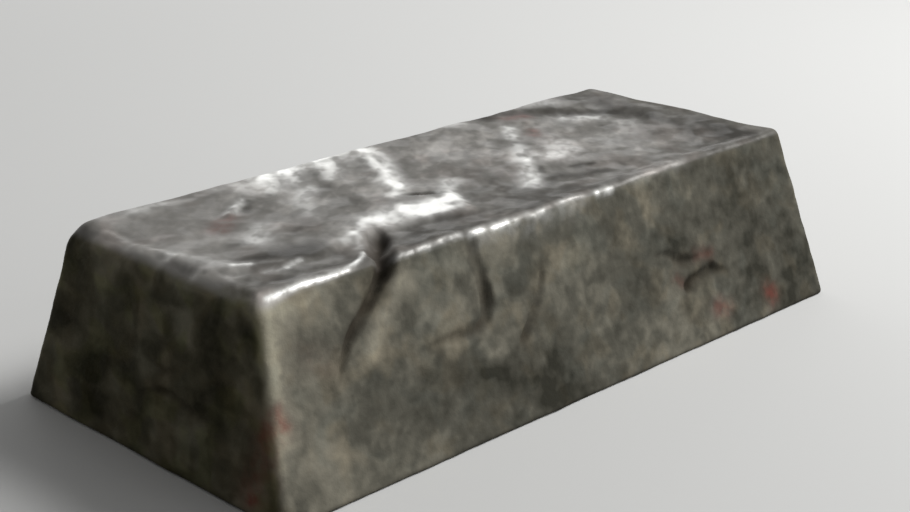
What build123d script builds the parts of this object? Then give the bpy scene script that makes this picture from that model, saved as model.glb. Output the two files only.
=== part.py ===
from build123d import *

import os
from math import cos, pi, radians, sin, tan

# Cast iron ingot, one solid. It lies on its wide face with the narrow, sunken face up.
# X runs along the ingot, -Y is its front, and the origin is under its middle. Millimetres and degrees.

# Body: a block with draft on all four sides, its sharp corners measured before rounding
base_length = 250.0
base_width = 124.0
height = 58.0
end_draft = 8.3
side_draft = 17.4
edge_radius = 2.6  # of the upright corners and of the rim, apart from the left end's
soft_rim_radius = 6.0  # of the rim of the left end
foot_radius = 1.5

# Sunken top: the metal has shrunk away from a standing rim, down a bank to a level floor
rim_width = 3.5
bank_width = 5.0
bank_drop = 1.2
floor_inset = 16.0
sink_depth = 1.7
sink_corner_radius = 8.0

# Lap: a tongue of later metal on the left of the floor, which stops in a rounded front
lap_height = 1.2
lap_front_radius = 1.0

# Cracks, folds and seams: the widest mouth and the greatest depth of each
notch_width = 7.5
notch_depth = 5.0
crack_width = 5.5
crack_depth = 4.0
fold_width = 4.5
fold_depth = 1.6
short_fold_width = 3.0
short_fold_depth = 1.0
seam_width = 3.6
seam_depth = 1.2
gully_width = 7.0
gully_depth = 0.9
groove_point_share = 0.15  # of the width and depth, left where a groove runs out
groove_spans = 8

# Where they run. On the top a point is how far from the left end and in from the front rim,
# on the front how far from the left end and down from the rim, on the left end how far from
# the front corner of the base and down from the rim.
lap_front_path = [(6, 26), (22, 20), (44, 17), (66, 20), (86, 19), (102, 15), (109, 26), (120, 50), (128, 90)]
notch_path = [(50, -7), (56.5, 2), (61, 8.5), (65.5, 15.5), (69, 22)]
gully_path = [(178, 86), (188, 82), (199, 76), (210, 68), (221, 59)]
crack_path = [(59, -4), (53.5, 2.5), (47.5, 7.7), (41, 12.6), (35.5, 18), (28, 29)]
fold_path = [(86.5, 2), (87.7, 13), (88.5, 21), (85.5, 26), (78, 29.3), (68, 28.8), (58, 30.5)]
short_fold_path = [(112.5, 14), (111, 21), (105.5, 30), (98.5, 36.5)]
seam_paths = [
    [(163.5, 26.5), (170, 28.8), (177, 31.6), (182.5, 32.3)],
    [(176.5, 39.5), (185.5, 37.8), (191.5, 38), (197.5, 39.6)],
]
end_seam_paths = [
    [(65, 28), (57, 31), (49, 29)],
    [(64, 39), (54, 36), (45, 37.5), (33, 38.5)],
]

top_length = base_length - 2 * height * tan(radians(end_draft))
top_width = base_width - 2 * height * tan(radians(side_draft))
mouth_length = top_length - 2 * rim_width
mouth_width = top_width - 2 * rim_width
floor_level = height - sink_depth

up = Vector(0, 0, 1)
front_out = Vector(0, -cos(radians(side_draft)), sin(radians(side_draft)))
front_up = Vector(0, sin(radians(side_draft)), cos(radians(side_draft)))
end_out = Vector(-cos(radians(end_draft)), 0, sin(radians(end_draft)))
end_up = Vector(sin(radians(end_draft)), 0, cos(radians(end_draft)))


def on_top(from_end, from_front):
    """The point at the level of the rim."""
    return Vector(from_end - base_length / 2, from_front - top_width / 2, height)


def on_sink(from_end, from_front):
    """The point on the sunken top, on its bank or on its floor."""
    inset = max(min(from_front, top_width - from_front) - rim_width, 0)
    if inset < bank_width:
        drop = bank_drop * inset / bank_width
    else:
        share = min((inset - bank_width) / (floor_inset - bank_width), 1)
        drop = bank_drop + (sink_depth - bank_drop) * share
    return on_top(from_end, from_front) - up * drop


def on_front(from_end, drop):
    """The point on the front face."""
    return Vector(from_end - base_length / 2, -top_width / 2, height) - front_up * drop


def on_end(from_front, drop):
    """The point on the left end face."""
    return Vector(-top_length / 2, from_front - base_width / 2, height) - end_up * drop


def running_out(t):
    """A groove that is widest where it starts and runs out to a point."""
    return 1 - (1 - groove_point_share) * t


def spindle(t):
    """A groove that is widest in the middle and runs out both ways."""
    return groove_point_share + (1 - groove_point_share) * sin(pi * t)


def groove(place, outward, path, width, depth, share):
    """A V-shaped cutter that follows a path on a face and stands as far out of it as it cuts in."""
    with BuildLine():
        line = Spline(*[place(*point) for point in path])
    with BuildPart() as cutter:
        for i in range(groove_spans + 1):
            t = i / groove_spans
            half_mouth = width * share(t)
            reach = depth * share(t)
            with BuildSketch(Plane(line @ t, x_dir=outward.cross(line % t), z_dir=line % t)):
                with BuildLine():
                    Polyline((-half_mouth, reach), (0, -reach), (half_mouth, reach), close=True)
                make_face()
        loft()
    return cutter.part


with BuildPart() as lap:
    with BuildSketch(Plane.XY.offset(floor_level - lap_height)):
        with BuildLine():
            front_points = [on_top(*point) for point in lap_front_path]
            front_line = Spline(*[(point.X, point.Y) for point in front_points])
            Polyline(
                front_line @ 1,
                (-base_length / 2, (front_line @ 1).Y),
                (-base_length / 2, (front_line @ 0).Y),
                front_line @ 0,
            )
        make_face()
        RectangleRounded(mouth_length, mouth_width, sink_corner_radius, mode=Mode.INTERSECT)
    extrude(amount=2 * lap_height)
    fillet(lap.faces().sort_by(Axis.Z)[-1].edges().filter_by(GeomType.BSPLINE), lap_front_radius)

with BuildPart() as iron_ingot:
    with BuildSketch():
        Rectangle(base_length, base_width)
    with BuildSketch(Plane.XY.offset(height)):
        Rectangle(top_length, top_width)
    loft()
    fillet(iron_ingot.faces().sort_by(Axis.Z)[-1].edges().sort_by(Axis.X)[0], soft_rim_radius)
    foot = iron_ingot.faces().sort_by(Axis.Z)[0].edges()
    left_rim = iron_ingot.faces().filter_by(GeomType.CYLINDER).edges().filter_by(Axis.Y)
    fillet(iron_ingot.edges() - foot - left_rim, edge_radius)
    fillet(iron_ingot.faces().sort_by(Axis.Z)[0].edges(), foot_radius)

    # The sunken top, with the lap lying in it
    for inset, drop in ((0, 0), (bank_width, bank_drop), (floor_inset, sink_depth)):
        with BuildSketch(Plane.XY.offset(height - drop)):
            RectangleRounded(mouth_length - 2 * inset, mouth_width - 2 * inset, sink_corner_radius)
    loft(mode=Mode.SUBTRACT)
    add(lap.part)

    # The notch in the rim with its crack down the front, and the other folds and seams
    add(groove(on_top, up, notch_path, notch_width, notch_depth, running_out), mode=Mode.SUBTRACT)
    add(groove(on_front, front_out, crack_path, crack_width, crack_depth, running_out), mode=Mode.SUBTRACT)
    add(groove(on_sink, up, gully_path, gully_width, gully_depth, spindle), mode=Mode.SUBTRACT)
    add(groove(on_front, front_out, fold_path, fold_width, fold_depth, spindle), mode=Mode.SUBTRACT)
    add(
        groove(on_front, front_out, short_fold_path, short_fold_width, short_fold_depth, spindle),
        mode=Mode.SUBTRACT,
    )
    for path in seam_paths:
        add(groove(on_front, front_out, path, seam_width, seam_depth, spindle), mode=Mode.SUBTRACT)
    for path in end_seam_paths:
        add(groove(on_end, end_out, path, seam_width, seam_depth, spindle), mode=Mode.SUBTRACT)

iron_ingot.part.label = "iron_ingot"
os.makedirs("parts", exist_ok=True)
export_step(iron_ingot.part, "parts/iron_ingot.step")
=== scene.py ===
from itertools import product
from math import cos, pi, radians, sin, tan

import bpy
import numpy as np
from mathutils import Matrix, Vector


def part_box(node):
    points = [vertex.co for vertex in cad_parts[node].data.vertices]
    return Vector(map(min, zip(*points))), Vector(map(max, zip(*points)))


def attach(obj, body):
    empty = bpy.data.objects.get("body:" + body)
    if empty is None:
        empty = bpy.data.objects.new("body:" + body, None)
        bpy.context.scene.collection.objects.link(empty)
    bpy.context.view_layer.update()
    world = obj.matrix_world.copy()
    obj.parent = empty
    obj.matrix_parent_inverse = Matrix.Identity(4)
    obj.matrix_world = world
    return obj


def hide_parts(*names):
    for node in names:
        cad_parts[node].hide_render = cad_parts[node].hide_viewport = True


# A cast iron ingot on a pale floor. Lengths are in millimetres until the mesh is made, X runs along
# the ingot, -Y is its front, and the origin is under its middle.

MM = 0.001

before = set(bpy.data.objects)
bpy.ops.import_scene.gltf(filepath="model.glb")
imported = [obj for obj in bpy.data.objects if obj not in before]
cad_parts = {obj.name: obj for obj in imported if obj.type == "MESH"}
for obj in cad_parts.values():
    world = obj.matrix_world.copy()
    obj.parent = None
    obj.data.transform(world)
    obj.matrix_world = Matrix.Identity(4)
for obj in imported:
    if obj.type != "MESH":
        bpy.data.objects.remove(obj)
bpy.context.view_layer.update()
low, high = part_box("iron_ingot")

# Block: the draft and the rounding of its edges. The rim of the left end is softer than the others.
END_DRAFT = radians(8.3)
SIDE_DRAFT = radians(17.4)
CORNER_RADIUS = 3.2
RIM_RADIUS = 2.2
SOFT_RIM_RADIUS = 6.0
SOFT_RIM_REACH = 16.0
FOOT_RADIUS = 1.5
CUT_EASE = 12.0  # added to those radii for the block whose slopes the cuts follow
SLOPE_STEP = 0.05  # to each side of a point, for the slope of the block there
SETTLE_ROUNDS = 6  # of moving a point onto the block


def sharp_half(extent, draft):
    """Half of a base side before its foot was rounded, from its measured extent."""
    return extent / MM / 2 + FOOT_RADIUS * ((1 + sin(draft)) / cos(draft) - 1)


HALF_LENGTH = sharp_half(high.x - low.x, END_DRAFT)
HALF_WIDTH = sharp_half(high.y - low.y, SIDE_DRAFT)
HEIGHT = (high.z - low.z) / MM
TOP_HALF_LENGTH = HALF_LENGTH - HEIGHT * tan(END_DRAFT)
TOP_HALF_WIDTH = HALF_WIDTH - HEIGHT * tan(SIDE_DRAFT)

# Mesh: cells along the ingot, across it and up its sides, the rows that turn under the foot,
# and how many of those cells one cell of the underside spans
CELLS_LONG = 304
CELLS_WIDE = 108
CELLS_HIGH = 74
FOOT_ROWS = 3
FOOT_ROW_STEP = 0.8
UNDER_SPAN = 4

# Texture map in millimetres: each face's place on it, and the lattice steps that run along and up it
MAP_SIZE = np.array([382.0, 228.0])
CELL_LONG = 2 * HALF_LENGTH / CELLS_LONG
CELL_WIDE = 2 * HALF_WIDTH / CELLS_WIDE
CELL_HIGH = HEIGHT / cos(SIDE_DRAFT) / CELLS_HIGH
TOP_CELL_WIDE = 2 * TOP_HALF_WIDTH / CELLS_WIDE
UNDER_SCALE = 0.48
FRONT, RIGHT, BACK, LEFT, TOP, UNDER = range(6)
CHARTS = {
    FRONT: ((2, 92), (CELL_LONG, 0, 0), (0, 0, CELL_HIGH)),
    RIGHT: ((254, 2), (0, CELL_WIDE, 0), (0, 0, CELL_HIGH)),
    BACK: ((2, 160), (CELL_LONG, 0, 0), (0, 0, CELL_HIGH)),
    LEFT: ((256, 92), (0, CELL_WIDE, 0), (0, 0, CELL_HIGH)),
    TOP: ((2, 2), (CELL_LONG, 0, 0), (0, TOP_CELL_WIDE, 0)),
    UNDER: ((256, 160), (UNDER_SCALE * CELL_LONG, 0, 0), (0, UNDER_SCALE * CELL_WIDE, 0)),
}

UP = np.array([0.0, 0.0, 1.0])
FRONT_UP = np.array([0.0, sin(SIDE_DRAFT), cos(SIDE_DRAFT)])
END_UP = np.array([sin(END_DRAFT), 0.0, cos(END_DRAFT)])


# Places on the faces


def on_top(from_end, from_front):
    """The point at the level of the rim, from the left end of the base and in from the front rim."""
    return np.array([from_end - HALF_LENGTH, from_front - TOP_HALF_WIDTH, HEIGHT])


def on_front(from_end, drop):
    """The point on the front face, from the left end of the base and down from the rim."""
    return np.array([from_end - HALF_LENGTH, -TOP_HALF_WIDTH, HEIGHT]) - FRONT_UP * drop


def on_end(from_front, drop):
    """The point on the left end face, from the front of the base and down from the rim."""
    return np.array([-TOP_HALF_LENGTH, from_front - HALF_WIDTH, HEIGHT]) - END_UP * drop


# Smooth steps and random relief

RIPPLE_TABLE = 512  # random slopes to choose from
RIPPLE_GAIN = 1.6


def step_up(low_edge, high_edge, value):
    """0 below one edge, 1 above the other and smooth between them."""
    t = np.clip((value - low_edge) / (high_edge - low_edge), 0, 1)
    return t * t * (3 - 2 * t)


def ripple(points, size, seed):
    """Smooth random relief of about -1 to 1, with bumps of a size, one number or one for each axis."""
    rng = np.random.default_rng(seed)
    order = rng.permutation(RIPPLE_TABLE)
    slopes = rng.normal(size=(RIPPLE_TABLE, 3))
    slopes /= np.linalg.norm(slopes, axis=1, keepdims=True)
    cells = points / size
    corner = np.floor(cells).astype(int)
    part = cells - corner
    ease = part**3 * (part * (part * 6 - 15) + 10)
    total = np.zeros(len(points))
    for step in product((0, 1), repeat=3):
        at = (corner + step) % RIPPLE_TABLE
        row = order[(order[at[:, 0]] + at[:, 1]) % RIPPLE_TABLE]
        pick = order[(row + at[:, 2]) % RIPPLE_TABLE]
        lean = np.einsum("ij,ij->i", slopes[pick], part - step)
        total += lean * np.prod(np.where(step, ease, 1 - ease), axis=1)
    return total * RIPPLE_GAIN


def rough(points, size, seed, octaves=3):
    """Random relief with finer and fainter bumps on the larger ones."""
    size = np.asarray(size, float)
    return sum(ripple(points, size / 2**i, seed + i) / 2**i for i in range(octaves))


def falling_off(gap, reach):
    """1 where the gap is nothing, and less and less beyond its reach."""
    return np.exp(-((gap / reach) ** 2))


# Block and its mesh


def rounded(a, b, radius):
    """The larger of two distances, with the edge between their faces rounded."""
    over = np.hypot(np.maximum(a + radius, 0), np.maximum(b + radius, 0))
    return np.minimum(np.maximum(a, b), -radius) + over


def block_distance(p, ease=0.0):
    """How far each point is outside the rounded block, with its edges eased by a larger radius."""
    x, y, z = p.T
    side = (np.abs(y) - HALF_WIDTH + z * tan(SIDE_DRAFT)) * cos(SIDE_DRAFT)
    end = (np.abs(x) - HALF_LENGTH + z * tan(END_DRAFT)) * cos(END_DRAFT)
    wall = rounded(side, end, CORNER_RADIUS + ease)
    soft = step_up(TOP_HALF_LENGTH - SOFT_RIM_REACH, TOP_HALF_LENGTH, -x)
    crown = rounded(wall, z - HEIGHT, RIM_RADIUS + (SOFT_RIM_RADIUS - RIM_RADIUS) * soft + ease)
    return rounded(crown, -z, FOOT_RADIUS)


def block_normal(p, ease=0.0):
    """The slope of block_distance, as unit vectors."""
    steps = SLOPE_STEP * np.eye(3)
    slope = [block_distance(p + step, ease) - block_distance(p - step, ease) for step in steps]
    slope = np.stack(slope, axis=1)
    return slope / np.linalg.norm(slope, axis=1, keepdims=True)


def perimeter():
    """The lattice places round the block, counterclockwise from the front left corner."""
    front = [(i, 0) for i in range(CELLS_LONG)]
    right = [(CELLS_LONG, j) for j in range(CELLS_WIDE)]
    back = [(CELLS_LONG - i, CELLS_WIDE) for i in range(CELLS_LONG)]
    left = [(0, CELLS_WIDE - j) for j in range(CELLS_WIDE)]
    return np.array(front + right + back + left)


def plan(lattice, half_length, half_width):
    """Lattice places as x and y, over a rectangle."""
    x = (2 * lattice[:, 0] / CELLS_LONG - 1) * half_length
    y = (2 * lattice[:, 1] / CELLS_WIDE - 1) * half_width
    return np.stack([x, y], axis=1)


class Grid:
    """The block as a closed grid: its sides with the turn of the foot, its top and its underside.
    A lattice place is the step along the ingot, the step across it and the row down its side."""

    def __init__(self):
        self.ring = perimeter()
        self.points = []
        self.lattice = []
        self.faces = []
        self.charts = []
        self.rows = CELLS_HIGH + FOOT_ROWS
        for row in range(CELLS_HIGH + 1):
            z = HEIGHT * (1 - row / CELLS_HIGH)
            half_length = HALF_LENGTH - z * tan(END_DRAFT)
            half_width = HALF_WIDTH - z * tan(SIDE_DRAFT)
            self.lay(self.ring, row, half_length, half_width, z)
        for row in range(1, FOOT_ROWS + 1):
            inset = row * FOOT_ROW_STEP
            self.lay(self.ring, CELLS_HIGH + row, HALF_LENGTH - inset, HALF_WIDTH - inset, 0.0)
        self.join_rows()
        self.fill(TOP, 1, 0, TOP_HALF_LENGTH, TOP_HALF_WIDTH, HEIGHT)
        inset = FOOT_ROWS * FOOT_ROW_STEP
        self.fill(UNDER, UNDER_SPAN, self.rows, HALF_LENGTH - inset, HALF_WIDTH - inset, 0.0)

    def lay(self, places, row, half_length, half_width, z):
        """Points at lattice places over a rectangle at a level."""
        self.points += [(x, y, z) for x, y in plan(places, half_length, half_width)]
        self.lattice += [(i, j, row) for i, j in places]

    def join_rows(self):
        """The faces between the rings of points."""
        columns = len(self.ring)
        sides = np.repeat([FRONT, RIGHT, BACK, LEFT], [CELLS_LONG, CELLS_WIDE, CELLS_LONG, CELLS_WIDE])
        for row, c in product(range(self.rows), range(columns)):
            upper = row * columns
            lower = upper + columns
            d = (c + 1) % columns
            self.faces.append((lower + c, lower + d, upper + d, upper + c))
            self.charts.append(sides[c])

    def fill(self, chart, span, row, half_length, half_width, z):
        """A lattice of cells inside one ring, facing up on the top and down on the underside."""
        ids = {tuple(place): row * len(self.ring) + c for c, place in enumerate(self.ring)}
        inner = product(range(span, CELLS_LONG, span), range(span, CELLS_WIDE, span))
        inner = np.array(list(inner))
        ids.update({tuple(place): len(self.points) + n for n, place in enumerate(inner)})
        self.lay(inner, row, half_length, half_width, z)
        run = range(span)
        for i, j in product(range(0, CELLS_LONG, span), range(0, CELLS_WIDE, span)):
            outline = [(i + n, j) for n in run]
            outline += [(i + span, j + n) for n in run]
            outline += [(i + span - n, j + span) for n in run]
            outline += [(i, j + span - n) for n in run]
            face = [ids[place] for place in outline if place in ids]
            self.faces.append(tuple(face if chart == TOP else face[::-1]))
            self.charts.append(chart)


def add_bake_map(mesh, grid):
    """A texture map with one island for each face of the block."""
    corners = np.zeros(len(mesh.loops), dtype=int)
    mesh.loops.foreach_get("vertex_index", corners)
    chart = np.repeat(grid.charts, [len(face) for face in grid.faces])
    at = np.array(grid.lattice, float)[corners]
    columns = zip(*(CHARTS[c] for c in range(len(CHARTS))))
    place, along, upward = (np.array(column, float)[chart] for column in columns)
    steps = np.stack([np.sum(at * along, axis=1), np.sum(at * upward, axis=1)], axis=1)
    mesh.uv_layers.new(name="OFBake").data.foreach_set("uv", ((place + steps) / MAP_SIZE).ravel())


def settle(points):
    """Points moved onto the rounded block."""
    for _ in range(SETTLE_ROUNDS):
        points = points - block_distance(points)[:, None] * block_normal(points)
    return points


# Paths on the faces, and what is cut and piled along them


def smooth_path(rows, spans=12):
    """Rows of numbers filled in along a smooth curve through them."""
    rows = np.asarray(rows, float)
    padded = np.vstack([2 * rows[0] - rows[1], rows, 2 * rows[-1] - rows[-2]])
    out = []
    for a, b, c, d in zip(padded, padded[1:], padded[2:], padded[3:]):
        for t in np.arange(spans) / spans:
            bend = 2 * a - 5 * b + 4 * c - d + t * (3 * (b - c) + d - a)
            out.append(b + 0.5 * t * (c - a + t * bend))
    out.append(rows[-1])
    return np.array(out)


def off_path(points, path):
    """How far each point is from a path, and the path's nearest station."""
    station = np.linalg.norm(points[:, None] - path[None], axis=2).argmin(axis=1)
    run = np.gradient(path, axis=0)
    run /= np.linalg.norm(run, axis=1, keepdims=True)
    away = points - path[station]
    along = np.einsum("ij,ij->i", away, run[station])
    past_end = (station == 0) & (along < 0) | (station == len(path) - 1) & (along > 0)
    away -= np.where(past_end, 0, along)[:, None] * run[station]
    return np.linalg.norm(away, axis=1), station


def follow(points, path, reach):
    """Which points lie within reach of a path, its nearest stations and how far off it they are."""
    near = np.all((points > path.min(0) - reach) & (points < path.max(0) + reach), axis=1)
    which = np.nonzero(near)[0]
    gap, station = off_path(points[which], path)
    close = gap < reach
    return which[close], station[close], gap[close]


def side_of(points, path, outward, station):
    """1 for points left of a path, seen from outside and looking along it, and -1 on its right."""
    run = np.gradient(path, axis=0)[station]
    return np.sign(np.einsum("ij,ij->i", points - path[station], np.cross(outward, run)))


GROOVE_REACH = 1.2  # of its width, to each side
GROOVE_WAVER_SIZE = 4.0
GROOVE_SHARPNESS = 1.5  # 1 for a round bottom, and more for a narrower one
# The painted shade of a groove deepens with the groove's depth, up to DARK_DEPTH
DARK_DEPTH = 2.0  # from which a groove is as dark as it gets
RIDGE_BLUNT = 0.08  # of its length, left out where it would start and end at nothing


class Relief:
    """The block's points, what is pressed into and piled onto them, and the marks for the finish."""

    def __init__(self, points):
        self.base = points
        self.normal = block_normal(points)
        self.eased = block_normal(points, CUT_EASE)
        self.shift = np.zeros_like(points)
        self.marks = {}

    def mark(self, name):
        """The values of a mark, one for each point."""
        return self.marks.setdefault(name, np.zeros(len(self.base)))

    def push(self, amount):
        """Moves the points out along the block's normals."""
        self.shift += self.normal * amount[:, None]

    def groove(self, rows, left=1.0, right=1.0, waver=0.3):
        """Cuts along a path and paints shade into the cut. A row is a place, and the width and the depth
        of the cut there.
        left and right widen or narrow its two walls, and waver makes its edges uneven."""
        path = smooth_path([np.hstack(row) for row in rows])
        place, width, depth = settle(path[:, :3]), path[:, 3], path[:, 4]
        which, station, gap = follow(self.base, place, GROOVE_REACH * width.max() * max(left, right))
        outward = block_normal(place)[station]
        on_left = side_of(self.base[which], place, outward, station) > 0
        ratio = gap / (width[station] / 2 * np.where(on_left, left, right))
        ratio *= 1 + waver * rough(self.base[which], GROOVE_WAVER_SIZE, seed=23, octaves=2)
        cut = np.clip(1 - ratio**2, 0, 1) ** GROOVE_SHARPNESS
        self.shift[which] -= self.eased[which] * (depth[station] * cut)[:, None]
        # Painted shade: the groove is darkened in and around it, the more the deeper it is, where shade
        # falls in the recess
        groove_shade = self.mark("groove_shade")
        shade = falling_off(ratio, 1) * np.clip(depth[station] / DARK_DEPTH, 0, 1)
        groove_shade[which] = np.maximum(groove_shade[which], shade)

    def ridge(self, places, width, height):
        """Piles metal up along a path on the top."""
        path = smooth_path([on_top(*place) for place in places])
        which, station, gap = follow(self.base, path, 2 * width)
        along = np.clip(station / (len(path) - 1), RIDGE_BLUNT, 1 - RIDGE_BLUNT)
        self.shift[which, 2] += height * np.sin(pi * along) * falling_off(gap, width / 2)

    def lump(self, place, radius, height):
        """Swells the face at a place, or dents it where height is negative."""
        gap = np.linalg.norm(self.base - place, axis=1)
        self.push(height * falling_off(gap, radius))


def rows_on(place, rows):
    """The rows of a groove with their points put on a face."""
    return [(place(*at), width, depth) for at, width, depth in rows]


# Relief of the top. A point is how far from the left end of the base and in from the front rim.

# Where the bank and then the floor fall, in from the rim, and how deep. From the back and the
# right the fall is longer.
BANK = (2.5, 9)
BANK_DROP = 1.2
FLOOR = (8, 20)
FLOOR_DROP = 0.6
LONG_FALL = 2.6

# The lap: its height, how much of that is lost further back, where it starts beside the rims, how
# wide the step at its front is, in height and in colour, and where that front runs
LAP_HEIGHT = 1.1
LAP_LOSS = 0.85
LAP_LOSS_REACH = (24, 60)
LAP_BESIDE_RIM = (3, 9)
LAP_STEP = (-2.5, 1.8)
LAP_EDGE = (-1.6, 1.4)
LAP_CHUNKS = 40  # that its distances are worked out in, to save memory
LAP_FRONT = [
    (2, 30), (14, 23), (24, 20), (44, 17), (66, 20), (86, 19),
    (102, 15), (109, 25), (113, 40), (120, 60), (126, 96),
]
RIDGES = [
    ([(10, 65), (13, 50), (15, 38), (20, 26), (27, 22), (36, 16), (47, 17)], 7.0, 0.4),
    ([(119, 84), (114, 73), (109, 63), (104, 54), (102, 48), (107, 45)], 6.0, 0.8),
    ([(45, 59), (50, 64), (60, 70)], 3.0, 0.8),
    ([(88, 86), (101, 85), (112, 84), (121, 85)], 4.0, 0.6),
]
GULLY = [
    ((172, 90), 8, 0.1), ((184, 85), 10, 0.4), ((197, 78), 10, 0.5),
    ((209, 69), 10, 0.4), ((221, 59), 8, 0.1),
]
SLIT = [((98.5, 41.5), 2.0, 0.2), ((102, 38), 2.6, 0.6), ((109.5, 32.5), 2.0, 0.2)]

# How level a point is where the top begins, and where its grey begins
CROWN = (0.6, 0.97)
GREY_LEVEL = (0.45, 0.75)

# The edges of the grey: it spills over the left rim, except near the front, and fades to the right
GREY_EDGE = 5.0
GREY_SPILL = 5.0
SPILL_REACH = (4, 24)
FADE_TO_RIGHT = (-4, 14)
RIGHT_GREY = 0.55

# The dark shelf before the lap: its left and right ends, its front and back, and its loss to the right
SHELF_START = (63, 67)
SHELF_END = (2, 14)
SHELF_FRONT = (0.5, 3)
SHELF_BACK = (30, 10)
SHELF_LOSS = 0.5
SHELF_LOSS_REACH = (125, 165)

# The smoother place at the back left: where it ends to the right and to the front
CALM_END = (64, 38)
CALM_FRONT = (24, 42)

# How far the unevenness of the rims reaches, and where the lumps of the left one begin
RIM_REACH = 6.0
LEFT_RIM_REACH = 8.0
LUMPS_START = (2, 16)

# How far the front rim rises or falls, along the ingot
RIM_WAVE = [
    (8, 0.1), (23, 0.3), (33, 0.2), (44, 0.5), (58, 0.2), (67, -0.1), (82, 0.3), (101, -0.2),
    (116, -0.2), (131, 0.3), (147, -0.2), (162, 0.2), (190, 0.5), (237, 0.2),
]


def past_lap_front(points):
    """How far each point of the top is behind the front of the lap, or before it where negative."""
    path = smooth_path([on_top(*place) for place in LAP_FRONT])
    flat = np.column_stack([points[:, :2], np.full(len(points), HEIGHT)])
    past = np.zeros(len(points))
    top = points[:, 2] > HEIGHT - 2 * SOFT_RIM_RADIUS
    for chunk in np.array_split(np.nonzero(top)[0], LAP_CHUNKS):
        gap, station = off_path(flat[chunk], path)
        past[chunk] = gap * side_of(flat[chunk], path, UP, station)
    return past


def shape_top(relief):
    """The sunken top with its lap, ridges and gully."""
    p = relief.base
    crown = step_up(*CROWN, relief.normal[:, 2])
    inset = np.minimum(TOP_HALF_LENGTH - np.abs(p[:, 0]), TOP_HALF_WIDTH - np.abs(p[:, 1]))
    from_near_rims = np.minimum(TOP_HALF_LENGTH + p[:, 0], TOP_HALF_WIDTH + p[:, 1])
    from_far_rims = np.minimum(TOP_HALF_LENGTH - p[:, 0], TOP_HALF_WIDTH - p[:, 1])
    into = np.minimum(from_near_rims, from_far_rims / LONG_FALL) + 1.2 * ripple(p, 16, seed=3)
    relief.shift[:, 2] -= (BANK_DROP * step_up(*BANK, into) + FLOOR_DROP * step_up(*FLOOR, into)) * crown

    past = past_lap_front(p) + 1.8 * ripple(p, 13, seed=4) + 0.5 * ripple(p, 5, seed=5)
    from_front = p[:, 1] + TOP_HALF_WIDTH
    lap = LAP_HEIGHT * (1 - LAP_LOSS * step_up(*LAP_LOSS_REACH, from_front)) * step_up(*LAP_STEP, past)
    relief.shift[:, 2] += lap * crown * step_up(*LAP_BESIDE_RIM, inset)
    for places, width, height in RIDGES:
        relief.ridge(places, width, height)
    relief.groove(rows_on(on_top, GULLY))
    relief.groove(rows_on(on_top, SLIT))
    swell = 0.30 * rough(p, 17, seed=11, octaves=2) + 0.06 * rough(p, 6, seed=15, octaves=2)
    relief.shift[:, 2] += crown * swell
    mark_top(relief, step_up(*LAP_EDGE, past))


def mark_top(relief, lapped):
    """Where the top is grey, where its shelf before the lap is darker and where it is smoother."""
    p = relief.base
    from_base_end = p[:, 0] + HALF_LENGTH
    from_front = p[:, 1] + TOP_HALF_WIDTH
    from_left = TOP_HALF_LENGTH + p[:, 0]
    from_right = TOP_HALF_LENGTH - p[:, 0]
    ragged = 3.2 * rough(p, 10, seed=17)
    spill = GREY_SPILL * step_up(*SPILL_REACH, from_front)
    grey = step_up(*GREY_LEVEL, relief.normal[:, 2]) * step_up(0, GREY_EDGE, from_left + spill + ragged)
    faded = step_up(*FADE_TO_RIGHT, from_right + ragged)
    relief.mark("top")[:] = grey * (RIGHT_GREY + (1 - RIGHT_GREY) * faded)
    shelf = (1 - lapped) * step_up(*SHELF_START, from_base_end) * step_up(*SHELF_END, from_right)
    shelf *= step_up(*SHELF_FRONT, from_front)
    shelf *= step_up(*SHELF_BACK, from_front + 6 * rough(p, 22, seed=19))
    shelf *= 1 - SHELF_LOSS * step_up(*SHELF_LOSS_REACH, from_base_end)
    relief.mark("shelf")[:] = shelf * grey
    relief.mark("calm")[:] = step_up(*CALM_END, from_base_end) * step_up(*CALM_FRONT, from_front)


def shape_rim(relief):
    """The wave of the front rim, the lumps of the left one and the slight unevenness of the others."""
    p = relief.base
    path = smooth_path(RIM_WAVE)
    rise = np.interp(p[:, 0] + HALF_LENGTH, path[:, 0], path[:, 1]) + 0.3 * ripple(p, 9, seed=33)
    from_front_rim = np.hypot(p[:, 1] + TOP_HALF_WIDTH, p[:, 2] - HEIGHT)
    relief.shift[:, 2] += rise * falling_off(from_front_rim, RIM_REACH)
    inset = np.minimum(TOP_HALF_LENGTH - np.abs(p[:, 0]), TOP_HALF_WIDTH - p[:, 1])
    from_rims = np.hypot(np.maximum(inset, 0), p[:, 2] - HEIGHT)
    relief.push(0.4 * rough(p, 26, seed=31, octaves=2) * falling_off(from_rims, RIM_REACH))
    from_left_rim = np.hypot(np.maximum(TOP_HALF_LENGTH + p[:, 0], 0), p[:, 2] - HEIGHT)
    lumps = 1.6 * rough(p, 14, seed=35, octaves=2) * step_up(*LUMPS_START, p[:, 1] + TOP_HALF_WIDTH)
    relief.push(lumps * falling_off(from_left_rim, LEFT_RIM_REACH))


# Relief of the sides. A point of the front is how far from the left end and down from the rim,
# and a point of the left end how far from the front of the base and down from the rim.

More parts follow.
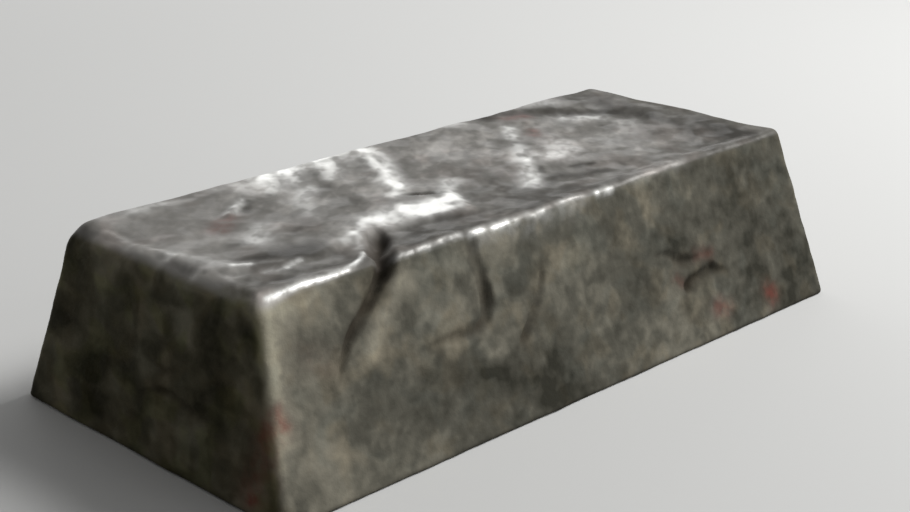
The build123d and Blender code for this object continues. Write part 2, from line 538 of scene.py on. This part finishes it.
FOLD = [
    ((86.5, 2), 5.5, 0.8), ((86.8, 6), 6.5, 0.9), ((87.7, 13), 6.5, 1.0), ((88.5, 21), 6.5, 1.8),
    ((85.5, 26.5), 5.5, 1.6), ((79, 28.8), 5, 1.3), ((71, 28.2), 4, 0.8), ((62, 29), 3, 0.2),
]
SHORT_FOLD = [
    ((112.5, 14), 2.4, 0.2), ((111, 21), 3.6, 0.8), ((105.5, 29), 4.0, 0.9),
    ((100, 35), 4.2, 1.3), ((97, 38), 2.4, 0.2),
]
FRONT_SEAMS = [
    [
        ((164.5, 27), 3.0, 0.4), ((170, 27.8), 4.8, 1.0), ((175, 30.9), 6.0, 1.4),
        ((179, 32), 6.0, 1.4), ((183, 32.2), 4.2, 0.6),
    ],
    [
        ((177, 39.8), 6.0, 1.6), ((181.4, 38.7), 6.0, 1.6), ((186.5, 37.7), 5.0, 1.2),
        ((190.5, 37.8), 6.4, 1.4), ((197, 40), 4.0, 0.5),
    ],
]
END_SEAMS = [
    [((65, 28), 2, 0.2), ((57, 31), 3.2, 1.0), ((49, 29), 2, 0.2)],
    [((64, 39), 2, 0.2), ((54, 36), 3, 0.9), ((45, 37.5), 3, 0.9), ((33, 38.5), 2, 0.2)],
]
SWELLS = [((70, 15), 14, 0.8), ((27, 9), 17, 0.6), ((101, 20), 9, 0.5)]

# How level a point is where the walls end, how much it faces left where the painted shade of the left
# end begins, the pits of the skin and how far the unevenness of the upright corners reaches
WALL = (0.5, 0.9)
LEFT_END_SHADE_EDGE = (0.35, 0.9)
PIT_DEPTH = 0.3
PIT_EDGE = (0.6, 0.9)
CORNER_REACH = 5.0


def notch():
    """The rows of the notch, from the top over the rim and a little way down the front."""
    on_the_top = [((69.5, 20), 5, 1.6), ((66, 15), 6.4, 2.8), ((61, 9.5), 7.4, 3.2), ((56.5, 4), 8, 3.4)]
    down_the_front = [((53.5, 2.5), 7.5, 3.0), ((49.5, 6.5), 5.5, 1.2)]
    return rows_on(on_top, on_the_top) + rows_on(on_front, down_the_front)


def crack():
    """The rows of the crack, from the rim above it down the front."""
    rows = [
        ((53.5, 2.5), 5.5, 2.4), ((48.3, 7.7), 5.0, 2.8), ((42, 12.8), 4.6, 2.4),
        ((36, 17.4), 3.8, 2.0), ((32, 22.5), 2.8, 1.3), ((28, 29), 1.4, 0.2),
    ]
    return rows_on(on_top, [((56.5, 4), 5, 0.6)]) + rows_on(on_front, rows)


def shape_sides(relief):
    """The cast skin of the sides, with the crack, the folds and the seams."""
    p = relief.base
    wall = 1 - step_up(*WALL, np.abs(relief.normal[:, 2]))
    skin = 0.32 * rough(p, (26, 26, 36), seed=41, octaves=2)
    skin += 0.13 * rough(p, (7, 7, 9), seed=44, octaves=2) + 0.04 * rough(p, 2.4, seed=47, octaves=2)
    pits = -PIT_DEPTH * step_up(*PIT_EDGE, ripple(p, (3.2, 3.2, 4.2), seed=51))
    relief.push(wall * (skin + pits))
    from_side = HALF_WIDTH - p[:, 2] * tan(SIDE_DRAFT) - np.abs(p[:, 1])
    from_end = HALF_LENGTH - p[:, 2] * tan(END_DRAFT) - np.abs(p[:, 0])
    near_corner = falling_off(np.hypot(from_side, from_end), CORNER_REACH)
    relief.push(0.3 * rough(p, 11, seed=57, octaves=2) * wall * near_corner)
    for place, radius, height in SWELLS:
        relief.lump(on_front(*place), radius, height)
    relief.groove(notch(), right=1.35, waver=0.05)
    relief.groove(crack(), left=0.9, right=1.15, waver=0.12)
    relief.groove(rows_on(on_front, FOLD), left=0.8, right=1.3)
    relief.groove(rows_on(on_front, SHORT_FOLD))
    for seam in FRONT_SEAMS:
        relief.groove(rows_on(on_front, seam))
    for seam in END_SEAMS:
        relief.groove(rows_on(on_end, seam))
    # Painted shade: faces turned to the left are darker and more olive, as if out of the light
    relief.mark("left_end_shade")[:] = step_up(*LEFT_END_SHADE_EDGE, -relief.normal[:, 0] + 0.12 * rough(p, 14, seed=55))


# Worn places with painted highlights, light, dark and rusty places: a face, a path on it, how far it
# spreads and how strong it is

# Pale places: worn bare metal, and painted highlights and glints on the rims, the lap and the top
PALE = [
    # A painted highlight along the crest of the front rim and round the lip of the notch
    (on_top, [(13, 0.2), (25, 0.4), (37, 0.6), (45, 2.4), (50.5, 5.8), (55, 10)], 0.9, 1.0),
    (on_top, [(57, 14), (63, 20)], 1.4, 0.4),
    (on_top, [(57.5, 20.5), (63.5, 23.5)], 2.2, 0.6),
    (on_top, [(66, 24), (72, 28.5), (78, 26)], 4.5, 0.48),
    (on_top, [(76, 25.5), (86, 27), (94, 26)], 5.5, 0.48),
    (on_top, [(74, 31), (82, 33), (90, 32)], 3.5, 0.22),
    (on_top, [(91, 27), (99, 26.5), (106, 26.5)], 4.8, 1.15),
    (on_top, [(90, 21.5), (104, 20.5)], 2.2, 0.5),
    (on_top, [(98.5, 44.5), (105, 49.5)], 4.0, 0.8),
    (on_top, [(104, 50.5), (108.5, 59.5), (115, 72), (120, 82), (123, 89)], 3.6, 0.75),
    (on_top, [(112, 58), (119, 70), (126, 84)], 2.5, 0.35),
    (on_top, [(95, 70), (101, 79), (105, 88)], 3.0, 0.55),
    (on_top, [(83, 75), (90, 87)], 3.0, 0.5),
    (on_top, [(72, 72), (79, 86)], 3.5, 0.5),
    (on_top, [(68, 80), (84, 82), (104, 82)], 9.0, 0.35),
    (on_top, [(80, 84), (100, 85), (118, 86)], 3.0, 0.45),
    (on_top, [(76.5, 61.5), (82.5, 67.5)], 3.4, 0.5),
    (on_top, [(67.5, 47.5), (73.5, 57.5)], 4.0, 0.35),
    (on_top, [(109.5, 31.5), (121, 42)], 3.5, 0.5),
    (on_top, [(12.5, 44.5), (16.5, 34.5), (21.5, 25.5)], 4.5, 0.22),
    (on_top, [(20.5, 24.5), (24.5, 22.5)], 1.1, 0.6),
    (on_top, [(32, 16), (38, 17.5)], 1.0, 0.7),
    (on_top, [(25.5, 17.5), (31.5, 15.5)], 1.2, 0.4),
    (on_top, [(39.5, 39.5), (47.5, 45.5)], 4.5, 0.45),
    (on_top, [(49.5, 63), (58.5, 70)], 1.8, 0.55),
    (on_top, [(30.5, 83.5), (37.5, 85.5)], 4.0, 0.35),
    (on_top, [(136, 21), (143.5, 28)], 3.2, 0.7),
    (on_top, [(145, 30), (156, 41)], 3.0, 0.5),
    (on_top, [(154, 43), (165, 53)], 3.6, 0.5),
    (on_top, [(167, 37), (178, 47)], 5.5, 0.5),
    (on_top, [(162, 42), (170, 39), (177, 38.5)], 3.0, 0.26),
    (on_top, [(170, 61), (179, 71)], 2.6, 0.65),
    (on_top, [(190, 34), (198, 42)], 4.5, 0.12),
    (on_top, [(203.5, 67.5), (212, 59)], 4.0, 0.5),
    (on_top, [(207, 40), (216, 47)], 4.5, 0.25),
    (on_top, [(163, 86), (173, 88)], 3.5, 0.4),
    (on_top, [(201, 87), (211, 84)], 4.5, 0.35),
    # Painted glints along the crest of the front rim
    (on_top, [(57.5, -0.7), (64, -0.6)], 0.9, 0.45),
    (on_top, [(66.5, -0.6), (84, -0.7)], 0.9, 0.38),
    (on_top, [(84, -0.7), (106, -1)], 1.2, 0.2),
    (on_top, [(87.5, -1), (91.5, -1)], 1.3, 0.45),
    (on_top, [(97, -1.1), (103, -1.2)], 1.3, 0.45),
    (on_top, [(107, -1), (160, -0.9)], 1.1, 0.04),
    (on_top, [(113, -1.1), (118, -1.1)], 1.4, 0.4),
    (on_top, [(128, -0.9), (133, -0.9)], 1.4, 0.25),
    (on_top, [(143.5, -1.1), (149.5, -1.1)], 1.5, 0.6),
    (on_top, [(160, -0.8), (188, -0.5)], 2.0, 0.1),
    (on_front, [(90, 2.5), (112, 3), (136, 2)], 3.2, 0.2),
]
TONE = [
    (on_top, [(29, 24.5), (44, 24)], 5.5, -1.4),
    (on_top, [(40, 21), (52, 16)], 4.0, -0.7),
    (on_top, [(33.5, 39.5), (36.5, 39.5)], 2.5, -0.6),
    (on_top, [(54, 62.5), (60, 67.5)], 1.6, -0.7),
    (on_top, [(51.5, 33.5), (61.5, 43.5)], 5.0, -0.3),
    (on_top, [(81.5, 43.5), (87.5, 51.5)], 3.0, -0.5),
    (on_top, [(86.5, 63.5), (93.5, 75.5)], 2.5, -0.5),
    (on_top, [(100.5, 39), (102.5, 38)], 1.6, -1.0),
    (on_top, [(105.5, 35.5), (107.5, 34)], 1.6, -1.0),
    (on_top, [(115, 23), (133, 43)], 8.0, -0.35),
    (on_top, [(149, 29), (153, 32.5)], 1.6, -0.9),
    (on_top, [(161.5, 26), (168.5, 24)], 1.6, -1.0),
    (on_top, [(163, 51.5), (167, 55.5)], 1.8, -0.9),
    (on_top, [(177, 88), (193, 80), (208, 70), (220, 60)], 5.0, -1.0),
    (on_top, [(229, 13), (231, 83)], 15.0, -0.9),
    (on_top, [(138, 76), (160, 74)], 12.0, 0.15),
    (on_top, [(148.5, 22.5), (163.5, 16)], 3.0, -0.6),
    (on_top, [(14, 9), (48, 9)], 5.5, -0.7),
    (on_front, [(16, 12), (20, 48)], 22.0, 0.6),
    (on_front, [(58, 7), (50, 15), (41, 24)], 3.4, 1.0),
    # Painted highlight: the front's left upright corner is lighter down its length, where it catches the
    # light
    (on_front, [(9.5, 3), (7, 25)], 3.0, 1.4),
    (on_front, [(6, 32), (4.5, 44)], 3.0, 1.0),
    (on_front, [(14, 4), (32, 4)], 3.5, 0.6),
    (on_front, [(78.5, 12.5), (80, 15)], 2.2, -0.6),
    (on_front, [(97.5, 17), (98, 22)], 2.5, -0.5),
    (on_front, [(173, 24), (175, 25.5)], 2.2, -0.8),
    (on_front, [(174, 44), (175.5, 46)], 2.2, -0.6),
    (on_front, [(176.5, 40.3), (178.5, 39.6)], 1.8, -1.2),
    (on_front, [(170, 37), (172, 42)], 3.0, 0.5),
    (on_front, [(184, 22), (187, 27)], 3.0, 0.5),
    (on_front, [(68, 10), (72, 22)], 8.0, 0.25),
    (on_front, [(95, 10), (100, 25)], 7.0, 0.2),
    (on_front, [(60, 7), (130, 4)], 4.0, 0.3),
    (on_front, [(58, 12), (66, 24)], 6.0, 0.35),
    (on_front, [(75, 38), (90, 45), (110, 50)], 8.0, -0.5),
    (on_front, [(92, 55), (120, 58)], 6.0, -0.4),
    (on_front, [(85, 37), (88, 37)], 2.0, 0.9),
    (on_front, [(81, 41), (88, 43)], 2.0, -0.8),
    (on_front, [(118, 12), (122, 32)], 7.0, 0.2),
    (on_front, [(140, 42), (156, 34)], 6.0, -0.4),
    (on_front, [(165, 20), (178, 24)], 4.0, -0.5),
    (on_front, [(165, 45), (172, 52)], 5.0, 0.3),
    (on_front, [(205, 20), (230, 45)], 24.0, -0.5),
    (on_front, [(209, 42), (214, 43)], 3.0, -0.5),
    (on_end, [(22, 1), (45, 1.5), (66, 1), (92, 2)], 3.0, 1.2),
    (on_end, [(45, 13), (45, 16)], 4.0, 0.7),
    (on_end, [(71, 21), (74, 21)], 3.5, 0.7),
    (on_end, [(84, 8), (86, 14)], 5.0, 0.5),
    (on_end, [(107, 18), (109, 18)], 3.0, 0.5),
    (on_end, [(107, 38), (103, 46)], 4.0, 0.7),
    (on_end, [(63, 33), (55, 34)], 4.0, 0.8),
    (on_end, [(46, 41), (37, 45)], 6.0, 0.5),
    (on_end, [(22, 23), (20, 27)], 5.0, 1.2),
    (on_end, [(7, 30), (12, 50)], 5.0, 0.5),
    (on_end, [(23, 43), (21, 47)], 4.0, 0.5),
    (on_end, [(104, 53), (102, 54)], 4.0, 0.4),
    (on_end, [(96, 20), (108, 28)], 6.0, -0.6),
    (on_end, [(84, 34), (95, 50)], 9.0, -0.6),
    (on_end, [(64, 26), (60, 26)], 3.0, -0.8),
    (on_end, [(29, 38), (37, 36)], 4.0, -0.8),
    (on_end, [(65, 41), (62, 50)], 3.5, -0.6),
    (on_end, [(33, 8), (28, 15)], 4.0, -0.4),
]
RUST = [
    (on_front, [(218, 52), (219, 54)], 3.2, 0.55),
    (on_front, [(190, 50), (194, 52)], 3.0, 0.35),
    (on_front, [(184, 31), (190, 32)], 2.4, 0.24),
    (on_front, [(172, 36), (174, 38)], 2.0, 0.2),
    (on_front, [(7, 30), (8, 34)], 2.3, 0.5),
    (on_front, [(20, 18), (24, 22)], 5.0, 0.06),
    (on_end, [(8, 34), (11, 44), (15, 54)], 5.0, 0.28),
    (on_end, [(12, 53), (14, 54)], 1.8, 0.55),
    (on_end, [(9, 32), (11, 36)], 2.0, 0.3),
    (on_top, [(37.5, 54), (46, 60)], 3.4, 0.2),
    (on_top, [(166, 38), (178, 46)], 7.0, 0.06),
    (on_top, [(179, 59), (183, 63)], 3.0, 0.25),
    (on_top, [(185, 79), (193, 77)], 3.0, 0.25),
]

# How far a stroke is followed, how large and how strong its waver is, all shares of its radius,
# and how alike a point and the stroke face where it starts to show
STROKE_REACH = 2.8
STROKE_WAVER_SIZE = 2.2
STROKE_WAVER = 0.4
SEEDS_PER_AXIS = 5
SAME_FACE = (0.2, 0.7)
TONE_LIMIT = 2.0


def spread(relief, strokes, seed, limit=1.0):
    """What the strokes add up to at each point, up to a limit. Their edges are soft and waver."""
    p = relief.base
    total = np.zeros(len(p))
    for place, stops, radius, strength in strokes:
        path = settle(smooth_path([place(*stop) for stop in stops]))
        which, _, _ = follow(p, path, STROKE_REACH * radius)
        near = p[which]
        size = STROKE_WAVER_SIZE * radius
        waver = [rough(near, size, seed + SEEDS_PER_AXIS * axis, octaves=2) for axis in range(3)]
        gap, station = off_path(near + STROKE_WAVER * radius * np.stack(waver, axis=1), path)
        facing = np.einsum("ij,ij->i", relief.normal[which], block_normal(path)[station])
        total[which] += strength * falling_off(gap, radius) * step_up(*SAME_FACE, facing)
    return np.clip(total, -limit, limit)


def ingot_mesh():
    """The ingot as one closed mesh with its marks as attributes."""
    grid = Grid()
    relief = Relief(settle(np.array(grid.points)))
    shape_top(relief)
    shape_rim(relief)
    shape_sides(relief)
    relief.mark("pale")[:] = spread(relief, PALE, seed=61)
    relief.mark("tone")[:] = spread(relief, TONE, seed=65, limit=TONE_LIMIT)
    relief.mark("rust")[:] = spread(relief, RUST, seed=69)
    placed = relief.base + relief.shift
    placed[:, 2] = np.maximum(placed[:, 2], 0)
    mesh = bpy.data.meshes.new("ingot_casting")
    mesh.from_pydata((placed * MM).tolist(), [], grid.faces)
    mesh.shade_smooth()
    for name, values in relief.marks.items():
        mesh.attributes.new(name, "FLOAT", "POINT").data.foreach_set("value", values.astype(np.float32))
    add_bake_map(mesh, grid)
    return mesh


# Finish


def srgb(*levels):
    """A colour written in 0 to 255, as the shader takes it."""
    shares = [level / 255 for level in levels]
    return (*(c / 12.92 if c <= 0.04045 else ((c + 0.055) / 1.055) ** 2.4 for c in shares), 1)


class Nodes:
    """Short ways to add shader nodes to a tree."""

    def __init__(self, tree):
        self.tree = tree

    def add(self, kind, **settings):
        node = self.tree.nodes.new(kind)
        for name, value in settings.items():
            setattr(node, name, value)
        return node

    def set(self, socket, value):
        """Links a socket to another, or gives it a value."""
        if isinstance(value, bpy.types.NodeSocket):
            self.tree.links.new(value, socket)
        else:
            socket.default_value = value

    def fill(self, node, values):
        """Sets the inputs of a node by name."""
        for name, value in values.items():
            self.set(node.inputs[name], value)

    def mark(self, name):
        return self.add("ShaderNodeAttribute", attribute_name=name).outputs["Fac"]

    def spot(self, size, stretch, turn=0.0):
        """The place on the object, in patches of a size in millimetres that are made longer along
        each axis and then turned."""
        node = self.add("ShaderNodeMapping", vector_type="TEXTURE")
        place = self.add("ShaderNodeTexCoord").outputs["Object"]
        scale = [MM * size * share for share in stretch]
        self.fill(node, {"Vector": place, "Rotation": (0, 0, turn), "Scale": scale})
        return node.outputs["Vector"]

    def noise(self, size, detail=2.0, distortion=0.0, stretch=(1, 1, 1), turn=0.0):
        """Random patches with soft edges."""
        node = self.add("ShaderNodeTexNoise")
        self.fill(node, {"Vector": self.spot(size, stretch, turn), "Scale": 1})
        self.fill(node, {"Detail": detail, "Distortion": distortion})
        return node.outputs["Fac"]

    def patches(self, size, stretch, smoothness):
        """Random patches with clearer edges than those of noise."""
        node = self.add("ShaderNodeTexVoronoi", feature="SMOOTH_F1", distance="CHEBYCHEV")
        self.fill(node, {"Vector": self.spot(size, stretch), "Scale": 1, "Smoothness": smoothness})
        return node.outputs["Color"]

    def between(self, value, start, end, first=0.0, last=1.0):
        """value moved from the range start to end into first to last, and held there."""
        node = self.add("ShaderNodeMapRange", interpolation_type="SMOOTHSTEP")
        for socket, number in zip(node.inputs, (value, start, end, first, last)):
            self.set(socket, number)
        return node.outputs["Result"]

    def math(self, operation, *values):
        node = self.add("ShaderNodeMath", operation=operation)
        for socket, value in zip(node.inputs, values):
            self.set(socket, value)
        return node.outputs[0]

    def sum(self, *terms):
        """Values added up, each with its share."""
        total = self.math("MULTIPLY", *terms[0])
        for value, share in terms[1:]:
            total = self.math("MULTIPLY_ADD", value, share, total)
        return total

    def mixed(self, kind, factor, a, b, blend_type="MIX"):
        node = self.add("ShaderNodeMix", data_type=kind, blend_type=blend_type)
        self.fill(node, {"Factor": factor, "A": a, "B": b})
        return node.outputs["Result"]

    def mix(self, factor, a, b):
        """A colour between two colours."""
        return self.mixed("RGBA", factor, a, b)

    def blend(self, factor, a, b):
        """A number between two numbers."""
        return self.mixed("FLOAT", factor, a, b)

    def tint(self, factor, colour, shares):
        """A colour with its red, green and blue cut to their shares."""
        return self.mixed("RGBA", factor, colour, (*shares, 1), "MULTIPLY")

    def tones(self, value, stops):
        """A colour for each value, from stops of value and colour."""
        node = self.add("ShaderNodeValToRGB")
        self.set(node.inputs["Fac"], value)
        elements = node.color_ramp.elements
        while len(elements) < len(stops):
            elements.new(0.5)
        for element, (position, colour) in zip(elements, stops):
            element.position = position
            element.color = srgb(*colour)
        return node.outputs["Color"]


# Colours from dark to light, with the level that each stands for
SKIN_TONES = [(0.28, (52, 51, 44)), (0.5, (88, 86, 77)), (0.72, (128, 124, 111)), (0.9, (160, 155, 137))]
# Painted shade of the left end: its colours, darker and more olive than the skin's
SHADED_END_TONES = [(0.28, (48, 46, 35)), (0.5, (90, 86, 70)), (0.72, (130, 125, 107))]
TOP_TONES = [(0.1, (46, 44, 40)), (0.3, (74, 72, 68)), (0.5, (105, 103, 99)), (0.75, (158, 155, 150))]
# The colour of worn metal and of the painted highlights
WEAR_AND_HIGHLIGHT_COLOUR = (204, 204, 201)
RUST_COLOUR = (124, 62, 54)
# Painted shade in the grooves: its colour and how strongly it darkens them
GROOVE_SHADE_COLOUR = (44, 38, 31)
GROOVE_SHADE_STRENGTH = 0.82

# What tinted patches keep of red, green and blue
OLIVE = (0.97, 1, 0.84)
BROWNISH = (1, 0.96, 0.91)
BLUISH = (0.95, 0.98, 1)
PINKISH = (1, 0.96, 0.95)

# How the patches of the sides, of the left end and of the top are drawn out
SIDE_STRETCH = (1.1, 1.1, 1.1)
END_STRETCH = (1, 1.4, 1.1)
TOP_FLOW = {"stretch": (1.6, 1, 1), "turn": radians(45)}

# How much the calm place evens out the top's patches, and the level it evens them to
CALM_SHARE = 0.55
CALM_LEVEL = 0.52

# Roughness: the ranges of the sides and of the top, and those of worn or painted-highlight places and of
# dull places
SIDE_ROUGHNESS = (0.85, 0.7)
TOP_ROUGHNESS = (0.68, 0.42)
WEAR_AND_HIGHLIGHT_ROUGHNESS = 0.36
DULL_ROUGHNESS = 0.9

SIDE_METALLIC = 0.05
TOP_METALLIC = 0.1
WEAR_AND_HIGHLIGHT_METALLIC = 0.65
SPECULAR = 0.05

# Grain too fine for the mesh: its sizes, its height and its strength on the sides and on the top
GRAIN_SIZE = 1.5
FINE_GRAIN_SIZE = 0.5
GRAIN_HEIGHT = 0.3
SIDE_GRAIN = 0.42
TOP_GRAIN = 0.18


def skin_colour(n, left_end_shade, tone):
    """Dull olive-grey cast skin, with painted shade that makes the left end darker and more olive."""
    level = n.sum(
        (n.noise(26, 0, 0.3), 0.26),
        (n.noise(11, 1, 0.5, SIDE_STRETCH), 0.22),
        (n.patches(5.5, SIDE_STRETCH, 0.6), 0.15),
        (n.noise(4.5, 0, 0.5, SIDE_STRETCH), 0.2),
        (n.noise(2.6, 1, 0.3, SIDE_STRETCH), 0.17),
        (tone, 0.22),
    )
    shaded_end_level = n.sum(
        (n.noise(13, 1, 0.4, END_STRETCH), 0.4),
        (n.patches(8, END_STRETCH, 0.5), 0.32),
        (n.noise(4.5, 1, 0.4, END_STRETCH), 0.28),
        (tone, 0.2),
    )
    shaded_end = n.tones(shaded_end_level, SHADED_END_TONES)
    shaded_end = n.tint(n.between(n.noise(9, 1, 0.4, END_STRETCH), 0.45, 0.62), shaded_end, OLIVE)
    skin = n.mix(left_end_shade, n.tones(level, SKIN_TONES), shaded_end)
    skin = n.tint(n.between(n.noise(12, 2, 0.4), 0.48, 0.66), skin, BROWNISH)
    return n.tint(n.between(n.noise(14, 2, 0.6), 0.48, 0.66), skin, BLUISH)


def top_colour(n, shelf, calm, tone):
    """The greyer top, with a dark shelf and a calmer place."""
    mottle = n.sum(
        (n.noise(20, 1, 0.2, **TOP_FLOW), 0.34),
        (n.noise(7, 1, 0.3, **TOP_FLOW), 0.44),
        (n.noise(3, 1, 0.3, **TOP_FLOW), 0.22),
    )
    mottle = n.blend(n.math("MULTIPLY", calm, CALM_SHARE), mottle, CALM_LEVEL)
    grey = n.tones(n.sum((mottle, 1), (tone, 0.28), (shelf, -0.22)), TOP_TONES)
    return n.tint(n.between(n.noise(16, 2, 0.4, **TOP_FLOW), 0.5, 0.66), grey, PINKISH)


def iron_finish():
    """Cast skin on the sides, a smoother and greyer top, worn places with painted highlights, rust, and
    painted shade in the cracks and grooves.
    """
    material = bpy.data.materials.new("as_cast_iron")
    material.use_nodes = True
    n = Nodes(material.node_tree)
    marks = ("top", "shelf", "calm", "left_end_shade", "pale", "tone", "rust", "groove_shade")
    top, shelf, calm, left_end_shade, pale, tone, rust, groove_shade = (n.mark(name) for name in marks)

    # The fainter a worn place or painted highlight is, the more it is broken up
    least = n.between(pale, 0.5, 1, 0.45, 0.9)
    broken = n.between(n.noise(3.6, 1, 0.2, **TOP_FLOW), 0.32, 0.62, least, 1.1)
    wear_and_highlight = n.math("MULTIPLY", pale, broken)
    rusty = n.math("MULTIPLY", rust, n.between(n.noise(3, 2), 0.3, 0.6, 0.5, 1))
    colour = n.mix(top, skin_colour(n, left_end_shade, tone), top_colour(n, shelf, calm, tone))
    # Worn metal and painted highlights are lighter
    colour = n.mix(wear_and_highlight, colour, srgb(*WEAR_AND_HIGHLIGHT_COLOUR))
    colour = n.mix(rusty, colour, srgb(*RUST_COLOUR))
    # Painted shade darkens the grooves
    colour = n.mix(n.math("MULTIPLY", groove_shade, GROOVE_SHADE_STRENGTH), colour, srgb(*GROOVE_SHADE_COLOUR))

    grain = n.noise(GRAIN_SIZE)
    dull = n.math("MAXIMUM", groove_shade, rusty)
    side_roughness = n.between(grain, 0.3, 0.7, *SIDE_ROUGHNESS)
    top_roughness = n.between(n.noise(9, 1, 0.3), 0.4, 0.6, *TOP_ROUGHNESS)
    roughness = n.blend(wear_and_highlight, n.blend(top, side_roughness, top_roughness), WEAR_AND_HIGHLIGHT_ROUGHNESS)
    metallic = n.blend(wear_and_highlight, n.blend(top, SIDE_METALLIC, TOP_METALLIC), WEAR_AND_HIGHLIGHT_METALLIC)

    bump = n.add("ShaderNodeBump")
    n.set(bump.inputs["Distance"], GRAIN_HEIGHT * MM)
    n.set(bump.inputs["Height"], n.sum((grain, 0.7), (n.noise(FINE_GRAIN_SIZE), 0.3)))
    n.set(bump.inputs["Strength"], n.blend(top, SIDE_GRAIN, TOP_GRAIN))
    n.fill(material.node_tree.nodes["Principled BSDF"], {
        "Base Color": colour,
        "Roughness": n.blend(dull, roughness, DULL_ROUGHNESS),
        "Metallic": n.blend(dull, metallic, 0.0),
        "Specular IOR Level": SPECULAR,
        "Normal": bump.outputs["Normal"],
    })
    return material


# Stage: what the camera and reflections see of the room and the floor, and what lights the ingot

ROOM_SEEN = (0.6, 0.6, 0.59, 1)
ROOM_LIGHT = (0.14, 0.14, 0.14, 1)
FLOOR_SEEN = (0.55, 0.55, 0.54, 1)
FLOOR_LIGHT = (0.12, 0.12, 0.12, 1)
FLOOR_SIZE = 3.4
FLOOR_ROUGHNESS = 0.9
FLOOR_SPECULAR = 0.1

# Lamps: the way to each from the middle, how far off it is, its size and its power
LAMPS = {
    "key": ((0.62, -0.35, 0.72), 1.4, (0.6, 0.6), 24),
    "sheen": ((0.7, 0.65, 0.38), 1.4, (1.1, 0.5), 3.6),
    "fill": ((0.1, -0.95, 0.35), 1.8, (1.2, 1.2), 6),
    "back": ((0.1, 0.97, 0.22), 1.8, (1.4, 0.6), 9),
}


def softbox(name, way, distance, size, watts):
    """A soft lamp that faces the middle of the ingot."""
    lamp = bpy.data.lights.new(name, "AREA")
    lamp.shape = "RECTANGLE"
    lamp.size, lamp.size_y = size
    lamp.energy = watts
    holder = bpy.data.objects.new(name, lamp)
    bpy.context.collection.objects.link(holder)
    holder.location = Vector(way).normalized() * distance
    toward = Vector((0, 0, HEIGHT * MM / 2)) - holder.location
    holder.rotation_euler = toward.to_track_quat("-Z", "Y").to_euler()


def backdrop_light(tree, seen, lit):
    """A colour that the camera and reflections see, and another that lights the object."""
    n = Nodes(tree)
    path = n.add("ShaderNodeLightPath")
    shown = path.outputs["Is Camera Ray"]
    for kind in ("Is Glossy Ray", "Is Transmission Ray"):
        shown = n.math("MAXIMUM", shown, path.outputs[kind])
    return n.mix(shown, lit, seen)


def make_stage():
    """The pale room, the floor and the lamps."""
    world = bpy.data.worlds.new("studio")
    bpy.context.scene.world = world
    world.use_nodes = True
    tree = world.node_tree
    colour = backdrop_light(tree, ROOM_SEEN, ROOM_LIGHT)
    tree.links.new(colour, tree.nodes["Background"].inputs["Color"])

    bpy.ops.mesh.primitive_plane_add(size=FLOOR_SIZE)
    floor = bpy.context.object
    floor.name = "floor"
    material = bpy.data.materials.new("pale_floor")
    material.use_nodes = True
    Nodes(material.node_tree).fill(material.node_tree.nodes["Principled BSDF"], {
        "Base Color": backdrop_light(material.node_tree, FLOOR_SEEN, FLOOR_LIGHT),
        "Roughness": FLOOR_ROUGHNESS,
        "Specular IOR Level": FLOOR_SPECULAR,
    })
    floor.data.materials.append(material)
    for name, lamp in LAMPS.items():
        softbox(name, *lamp)


# Camera: where it stands, in millimetres, which way it looks and its lens

CAMERA_PLACE = (-366.48, -367.32, 215.29)
CAMERA_YAW = radians(44.91)
CAMERA_PITCH = radians(19.7)
CAMERA_LENS = 66.75
CAMERA_SENSOR = 36.0
CAMERA_NEAR = 0.01


def make_camera():
    """The camera that took the photo."""
    lens = bpy.data.cameras.new("camera")
    lens.sensor_width = CAMERA_SENSOR
    lens.lens = CAMERA_LENS
    lens.clip_start = CAMERA_NEAR
    camera = bpy.data.objects.new("camera", lens)
    bpy.context.collection.objects.link(camera)
    camera.location = Vector(CAMERA_PLACE) * MM
    camera.rotation_euler = (pi / 2 - CAMERA_PITCH, 0, -CAMERA_YAW)
    bpy.context.scene.camera = camera


bpy.context.scene.view_settings.view_transform = "Standard"
make_stage()
make_camera()

ingot = bpy.data.objects.new("ingot_casting", ingot_mesh())
bpy.context.collection.objects.link(ingot)
ingot.data.materials.append(iron_finish())
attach(ingot, "root")
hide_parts("iron_ingot")
